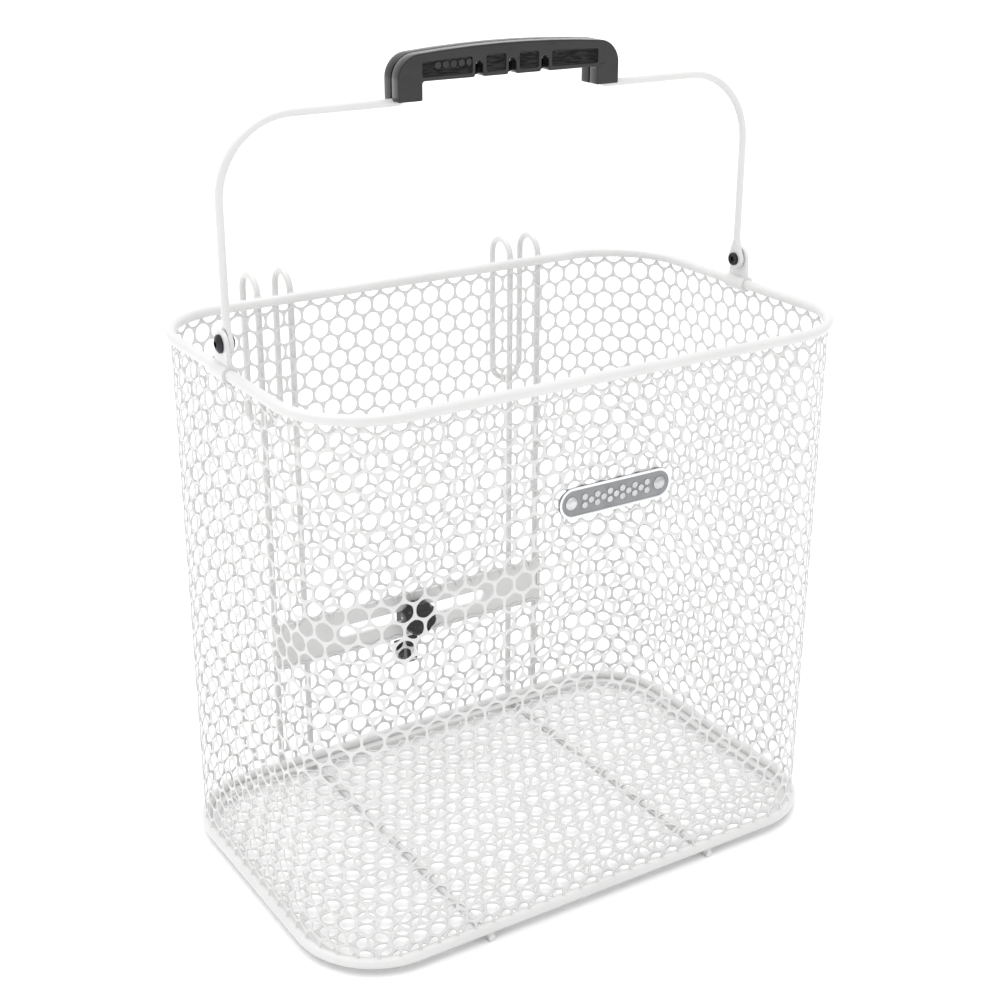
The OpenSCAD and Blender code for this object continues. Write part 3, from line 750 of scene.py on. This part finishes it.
class PANNIER_OT_welds(bpy.types.Operator):
    """Build the weld beads where wires cross the rim, the ring and the plate"""

    bl_idname = "pannier.welds"
    bl_label = "Build welds"

    def execute(self, context):
        sizes = context.scene.pannier_welds
        spots = []
        wire_r = (RING_Z - WIRE_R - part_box("left_rack_hook")[0].z) / 2
        hook_x = abs(middle("right_rack_hook")[0])
        spacing = extent("right_rack_hook")[0] / 2 - wire_r
        seam_y = HALF_D + WIRE_R
        plate_low, plate_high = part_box("clamp_plate")
        flat = (sizes.spread, sizes.swell, sizes.spread)
        for side in (-1, 1):
            inner = side * (hook_x - spacing)
            outer = side * (hook_x + spacing)
            for x in (inner, outer):
                spots.append(((x, seam_y, RIM_Z), flat))
                spots.append(((x, seam_y, RING_Z), flat))
                for z in (plate_low.z + 1.5 * MM, plate_high.z - 1.5 * MM):
                    spots.append(((x, plate_high.y + 0.2 * MM, z), (sizes.spread, 0.7 * MM, 2.4 * MM)))
            for y in (-HALF_D, HALF_D):
                spots.append(((inner, y, RING_Z - WIRE_R), (sizes.spread, sizes.swell * 2.5, sizes.swell)))
        points, faces = [], []
        rows, columns = 9, 16
        polar = np.linspace(0, math.pi, rows)[1:-1, None]
        turn = np.linspace(0, 2 * math.pi, columns, endpoint=False)[None, :]
        ball = np.sin(polar) * np.cos(turn), np.sin(polar) * np.sin(turn), np.cos(polar)
        unit = np.stack(np.broadcast_arrays(*ball), axis=-1)
        unit = np.concatenate([[[0, 0, 1]], unit.reshape(-1, 3), [[0, 0, -1]]])
        quads = grid_quads(rows - 2, columns) + 1
        last = len(unit) - 1
        around = np.arange(columns)
        top = np.stack([np.zeros(columns, int), 1 + around, 1 + (around + 1) % columns], axis=1)
        base = last - columns
        under = np.stack([np.full(columns, last), base + (around + 1) % columns, base + around], axis=1)
        for k, (place, reach) in enumerate(spots):
            points.append(unit * np.array(reach) + np.array(place))
            for group in (quads, top, under):
                faces += (group + k * len(unit)).tolist()
        piece = new_piece("weld_beads", np.concatenate(points), faces, "basket", "coated_wire")
        finish_mesh(piece, 80)
        return {"FINISHED"}


ARC_STEPS = 8
SIDE_POINTS = 6
PANEL_R = 1.2 * MM


def grip_corners(with_notches):
    """Corners and radii of the grip's outline in X and Z, anticlockwise, before its top is arched."""
    sizes = bpy.context.scene.pannier_grip
    low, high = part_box("grip_front_shell")
    half, leg = high.x, high.x - sizes.leg
    foot, under, shoulder = low.z, low.z + sizes.finger_gap, high.z - sizes.arch
    corners = [(-half, foot), (-leg, foot), (-leg, under)]
    radii = [0.8 * MM, 0.8 * MM, 1.5 * MM]
    if with_notches:
        more, round_more = notch_corners(under, sizes)
        corners += more
        radii += round_more
    corners += [(leg, under), (leg, foot), (half, foot), (half, shoulder), (-half, shoulder)]
    radii += [1.5 * MM, 0.8 * MM, 0.8 * MM, sizes.shoulder, sizes.shoulder]
    return corners, radii


def notch_corners(under, sizes):
    """Corners and radii of the notches, left to right along the underside."""
    corners, radii = [], []
    half = sizes.notch_w / 2
    for k in (-1, 0, 1):
        x = k * sizes.notch_pitch
        top = under + sizes.notch_h
        corners += [(x - half, under), (x - half, top), (x + half, top), (x + half, under)]
        radii += [1.3 * MM, half - 0.2 * MM, half - 0.2 * MM, 1.3 * MM]
    return corners, radii


def panel_corners():
    """Corners of the four sunk panels between the legs, parted by the notches and a border round each."""
    sizes = bpy.context.scene.pannier_grip
    low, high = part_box("grip_front_shell")
    side = high.x - sizes.leg + 0.5 * MM
    base = low.z + sizes.finger_gap + sizes.border
    top = high.z - sizes.arch - sizes.ledge
    clear = sizes.notch_w / 2 + sizes.border
    ends = [-side]
    for k in (-1, 0, 1):
        ends += [k * sizes.notch_pitch - clear, k * sizes.notch_pitch + clear]
    ends.append(side)
    return [[(x0, base), (x1, base), (x1, top), (x0, top)] for x0, x1 in zip(ends[::2], ends[1::2])]


def arched(flat, y):
    """Stands a flat outline up at a depth and arches its upper part by a parabola over the grip's width."""
    sizes = bpy.context.scene.pannier_grip
    low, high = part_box("grip_front_shell")
    under = low.z + sizes.finger_gap
    shoulder = high.z - sizes.arch
    share = np.clip((flat[:, 1] - under) / (shoulder - under), 0, 1)
    rise = sizes.arch * (1 - (flat[:, 0] / high.x) ** 2) * share
    return np.stack([flat[:, 0], np.full(len(flat), y), flat[:, 1] + rise], axis=1)


def grip_shell(name, node, with_notches, screws):
    """One half of the grip: a rounded block from the parting gap out to its face.

    The half with notches has the sunk panels and the raised hexagons, and the other has the screws' holes. An
    outline is joined to the next along a profile of insets and depths, and the edge is a quarter circle:
    inset = r (1 - cos a), depth = r (1 - sin a).
    """
    sizes = bpy.context.scene.pannier_grip
    low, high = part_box(node)
    front = abs(low.y) > abs(high.y)
    face_y, part_y = (low.y, high.y) if front else (high.y, low.y)
    way = 1 if part_y > face_y else -1
    corners, radii = grip_corners(with_notches)

    def outline(points, rounds, inset, y):
        return arched(rounded_polygon(points, rounds, inset, ARC_STEPS, SIDE_POINTS), y)

    turn = np.radians([0, 22.5, 45, 67.5, 90])
    lip = 0.5 * MM
    tongue = 0 if front else 0.7 * MM
    profile = [(1.5 * MM, part_y + way * tongue), (1.1 * MM, part_y + way * tongue), (1.0 * MM, part_y)]
    profile += [(lip, part_y), (lip * 0.3, part_y - way * lip * 0.3), (0, part_y - way * lip)]
    profile += [
        (sizes.edge * (1 - math.cos(a)), face_y + way * sizes.edge * (1 - math.sin(a))) for a in turn
    ]
    profile += [(sizes.edge + 0.2 * MM, face_y)]
    shell = Shell()
    rings = [shell.ring(outline(corners, radii, inset, y)) for inset, y in profile]
    shell.join(rings)
    shell.cap([rings[0]])
    if with_notches:
        wall = [
            (-0.15 * MM, 0), (0, 0), (0.15 * MM, 0.05 * MM), (0.3 * MM, sizes.sink - 0.15 * MM),
            (0.45 * MM, sizes.sink), (0.65 * MM, sizes.sink),
        ]
        mouths = []
        for panel in panel_corners():
            steps_in = []
            for inset, depth in wall:
                steps_in.append(shell.ring(outline(panel, [PANEL_R] * 4, inset, face_y + way * depth)))
            shell.join(steps_in)
            shell.cap([steps_in[-1]], 1)
            mouths.append(steps_in[0])
        shell.cap([rings[-1]] + mouths)
        for k in range(5):
            x = -high.x + sizes.leg + (9 + 4.6 * k) * MM
            z = low.z + sizes.finger_gap + 6.3 * MM
            spot = arched(np.array([[x, z]]), 0)[0]
            hexagon_stud(shell, spot[0], spot[2], face_y + way * sizes.sink, -way, 2.1 * MM, 0.35 * MM)
    else:
        holes = []
        for x, z, r, depth in screws:
            angle = np.linspace(0, 2 * math.pi, 24, endpoint=False)

            def circle(radius, y):
                across, up = x + radius * np.cos(angle), z + radius * np.sin(angle)
                return np.stack([across, np.full(len(angle), y), up], axis=1)
            mouth = [
                shell.ring(circle(r + 0.3 * MM, face_y)),
                shell.ring(circle(r, face_y + way * 0.3 * MM)),
                shell.ring(circle(r, face_y + way * depth)),
            ]
            shell.join(mouth)
            shell.cap([mouth[-1]])
            holes.append(mouth[0])
        shell.cap([rings[-1]] + holes)
    return shell.piece(name, "bail", "black_gloss", [node], 40)


def hexagon_stud(shell, x, z, base_y, way, radius, height):
    """A small raised hexagon with softened edges, closed, standing on a face."""
    angle = np.radians(60 * np.arange(6) + 30)
    corners = np.stack([x + radius * np.cos(angle), z + radius * np.sin(angle)], axis=1)
    rings = []
    profile = [
        (0, -0.2 * MM), (0, height * 0.5), (0.12 * MM, height * 0.9), (0.3 * MM, height), (0.5 * MM, height),
    ]
    for inset, rise in profile:
        flat = rounded_polygon(corners, [0.4 * MM] * 6, inset, 2)
        depth = np.full(len(flat), base_y + way * rise)
        rings.append(shell.ring(np.stack([flat[:, 0], depth, flat[:, 1]], axis=1)))
    shell.lathe(rings)


class PANNIER_OT_grip(bpy.types.Operator):
    """Build the grip's two shells"""

    bl_idname = "pannier.grip"
    bl_label = "Build grip"

    def execute(self, context):
        grip_shell("grip_front", "grip_front_shell", True, [])
        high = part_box("grip_screws")[1]
        head_r = extent("grip_screws")[2] / 2 + 0.15 * MM
        depth = 1.3 * MM
        reach, height = high.x - extent("grip_screws")[2] / 2, middle("grip_screws")[2]
        screws = [(side * reach, height, head_r, depth) for side in (-1, 1)]
        grip_shell("grip_back", "grip_back_shell", False, screws)
        return {"FINISHED"}


class PANNIER_OT_badge(bpy.types.Operator):
    """Build the badge with its raised border and a row of hexagons"""

    bl_idname = "pannier.badge"
    bl_label = "Build badge"

    def execute(self, context):
        sizes = context.scene.pannier_badge
        low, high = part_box("badge_plate")
        half_h = (high.z - low.z) / 2
        mid_z = (high.z + low.z) / 2
        corners = [(low.x, low.z), (high.x, low.z), (high.x, high.z), (low.x, high.z)]
        def at(inset, y):
            flat = rounded_polygon(corners, [half_h - 0.01 * MM] * 4, inset, 12)
            return np.stack([flat[:, 0], np.full(len(flat), y), flat[:, 1]], axis=1)
        front, back = low.y, high.y
        soft = 0.3 * MM
        border, foot = soft + sizes.border, soft + sizes.border + sizes.slope
        profile = [
            (0.3 * MM, back), (0, back - 0.1 * MM), (0, front + soft),
            (soft * 0.3, front + soft * 0.3), (soft, front),
            (border, front), (border + 0.1 * MM, front + 0.06 * MM), (foot, front + sizes.dish),
            (foot + 0.2 * MM, front + sizes.dish), (foot + 0.4 * MM, front + sizes.dish),
        ]
        shell = Shell()
        rings = [shell.ring(at(inset, y)) for inset, y in profile]
        shell.lathe(rings)
        step = 3.9 * MM
        for k in range(-5, 6):
            x = k * step
            for row in (-1, 1) if k % 2 else (0,):
                z = mid_z + row * step * 0.58
                hexagon_stud(shell, x, z, front + sizes.dish, -1, sizes.stud, 0.25 * MM)
        shell.piece("badge", "basket", "badge_metal", ["badge_plate"], 40)
        return {"FINISHED"}


class PANNIER_OT_knob(bpy.types.Operator):
    """Build the clamp knob"""

    bl_idname = "pannier.knob"
    bl_label = "Build knob"

    def execute(self, context):
        sizes = context.scene.pannier_knob
        low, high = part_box("clamp_knob")
        x0, _, z0 = middle("clamp_knob")
        radius = (high.x - low.x) / 2
        bore = extent("knob_insert")[0] / 2
        bore_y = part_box("knob_insert")[0].y
        r = sizes.round
        arc = np.radians(np.linspace(0, 90, 7))
        dish = 0.8 * MM
        profile = [(0.0, low.y + dish), (radius * 0.45, low.y + dish * 0.8), (radius * 0.62, low.y + dish * 0.3)]
        profile += [(radius - r - 0.4 * MM, low.y)]
        profile += [(radius - r + r * math.sin(a), low.y + r * (1 - math.cos(a))) for a in arc]
        profile += [
            (radius, high.y - 1.2 * MM), (radius - 0.2 * MM, high.y - 0.6 * MM), (radius - 0.9 * MM, high.y),
            (bore, high.y), (bore, bore_y), (0.0, bore_y),
        ]
        profile = np.array(profile)
        turn = np.linspace(0, 2 * math.pi, 128, endpoint=False)
        share = np.clip((profile[:, 0] / radius - 0.7) / 0.3, 0, 1)
        dent = sizes.scallop * np.maximum(np.cos(sizes.scallops * turn), 0)[None, :] ** 0.8 * share[:, None]
        reach = profile[:, 0][:, None] - dent
        x = x0 + reach * np.cos(turn)
        z = z0 + reach * np.sin(turn)
        y = np.broadcast_to(profile[:, 1][:, None], x.shape)
        piece = new_piece(
            "knob", np.stack([x, y, z], axis=-1), grid_quads(len(profile), 128),
            "clamp_knob", "black_gloss", ["clamp_knob"],
        )
        finish_mesh(piece, 45)
        return {"FINISHED"}


class PANNIER_OT_finishes(bpy.types.Operator):
    """Give every piece and every carried-over node its finish"""

    bl_idname = "pannier.finishes"
    bl_label = "Apply finishes"

    def execute(self, context):
        tints = context.scene.pannier_finish
        field_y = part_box("badge_plate")[0].y + context.scene.pannier_badge.dish
        finishes = {
            "coated_wire": coated_wire("Powder coated wire", tints.coat),
            "coated_mesh": coated_mesh("Powder coated honeycomb", tints.coat),
            "black_gloss": glossy_plastic("Glossy black plastic", tints.plastic),
            "black_nylon": satin_nylon("Satin black nylon", tints.nylon),
            "black_steel": plated_steel("Black plated steel", tints.black_steel, 0.34, (1, 1, 1)),
            "bright_steel": plated_steel("Zinc plated steel", tints.bright_steel, 0.30, (1, 1, 1)),
            "badge_metal": badge_metal("Brushed badge metal", tints.badge, field_y),
            "brass": plated_steel("Turned brass", tints.brass, 0.28, (1, 1, 1)),
        }
        grain = grained_plastic("Grained black plastic", tints.plastic)
        for node in frame["nodes"].values():
            for place in node.material_slots:
                place.material = finishes[place.material.name.split(".")[0]]
        for piece in context.scene.objects:
            if piece.type == "MESH" and "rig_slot" in piece:
                indices = np.zeros(len(piece.data.polygons), np.int32)
                piece.data.polygons.foreach_get("material_index", indices)
                piece.data.materials.clear()
                piece.data.materials.append(finishes[piece["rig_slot"]])
                if piece.name == "grip_front":
                    piece.data.materials.append(grain)
                    piece.data.polygons.foreach_set("material_index", indices)
        return {"FINISHED"}


class PANNIER_OT_stage(bpy.types.Operator):
    """Set up the floor, the light and the camera"""

    bl_idname = "pannier.stage"
    bl_label = "Set the stage"

    def execute(self, context):
        studio = context.scene.pannier_studio
        half = 6.0
        corners = [(-half, -half, 0), (half, -half, 0), (half, half, 0), (-half, half, 0)]
        mesh = bpy.data.meshes.new("studio_floor")
        mesh.from_pydata(corners, [], [(0, 1, 2, 3)])
        floor = bpy.data.objects.new("studio_floor", mesh)
        context.scene.collection.objects.link(floor)
        paint = Finish("Studio floor", Roughness=0.9, Specular_IOR_Level=0.1)
        colour = context.scene.pannier_finish.floor
        paint.feed(
            paint.shader.inputs["Base Color"], paint.mix(paint.noise(3, 2), shade(colour, 1.0), shade(colour, 0.995))
        )
        mesh.materials.append(paint.material)

        world = bpy.data.worlds.new("Studio")
        context.scene.world = world
        world.use_nodes = True
        world.node_tree.nodes["Background"].inputs["Color"].default_value = (1, 1, 1, 1)
        world.node_tree.nodes["Background"].inputs["Strength"].default_value = studio.sky
        overhead = bpy.data.lights.new("Overhead", "SUN")
        overhead.energy = studio.sun
        overhead.angle = math.radians(studio.spread)
        lamp = bpy.data.objects.new("Overhead", overhead)
        lamp.rotation_euler = (math.radians(-8), math.radians(-6), 0)
        context.scene.collection.objects.link(lamp)

        heading, dip, roll = (math.radians(a) for a in (studio.heading, studio.dip, studio.roll))
        view = Vector((-math.sin(heading) * math.cos(dip), math.cos(heading) * math.cos(dip), -math.sin(dip)))
        right = view.cross(Vector((0, 0, 1))).normalized()
        up = right.cross(view)
        turned = right * math.cos(roll) + up * math.sin(roll)
        upright = up * math.cos(roll) - right * math.sin(roll)
        data = bpy.data.cameras.new("Camera")
        data.sensor_width = 36.0
        data.lens = studio.lens
        camera = bpy.data.objects.new("Camera", data)
        turn = Matrix((turned, upright, -view)).transposed().to_4x4()
        camera.matrix_world = Matrix.Translation(studio.camera) @ turn
        context.scene.collection.objects.link(camera)
        context.scene.camera = camera
        context.scene.view_settings.view_transform = "Standard"
        return {"FINISHED"}


class PANNIER_PT_panel(bpy.types.Panel):
    """Lists the build steps"""

    bl_label = "Pannier basket"
    bl_space_type = "VIEW_3D"
    bl_region_type = "UI"
    bl_category = "Pannier"

    def draw(self, context):
        for operator in OPERATORS:
            self.layout.operator(operator.bl_idname)
        for name in GROUPS:
            box = self.layout.box()
            group = getattr(context.scene, name)
            for key in group.bl_rna.properties.keys():
                if key not in ("rna_type", "name"):
                    box.prop(group, key)


GROUPS = {
    "pannier_mesh": PannierMesh,
    "pannier_welds": PannierWelds,
    "pannier_grip": PannierGrip,
    "pannier_badge": PannierBadge,
    "pannier_knob": PannierKnob,
    "pannier_finish": PannierFinish,
    "pannier_studio": PannierStudio,
}
OPERATORS = (
    PANNIER_OT_walls,
    PANNIER_OT_floor,
    PANNIER_OT_welds,
    PANNIER_OT_grip,
    PANNIER_OT_badge,
    PANNIER_OT_knob,
    PANNIER_OT_finishes,
    PANNIER_OT_stage,
)


def register():
    for name, group in GROUPS.items():
        bpy.utils.register_class(group)
        setattr(bpy.types.Scene, name, PointerProperty(type=group))
    for item in OPERATORS + (PANNIER_PT_panel,):
        bpy.utils.register_class(item)


def unregister():
    for item in reversed(OPERATORS + (PANNIER_PT_panel,)):
        bpy.utils.unregister_class(item)
    for name, group in GROUPS.items():
        delattr(bpy.types.Scene, name)
        bpy.utils.unregister_class(group)


def main():
    """Builds every piece and the stage."""
    register()
    for operator in OPERATORS:
        group, name = operator.bl_idname.split(".")
        if getattr(getattr(bpy.ops, group), name)() != {"FINISHED"}:
            raise RuntimeError(f"{operator.bl_idname} did not finish")


if __name__ == "__main__":
    main()
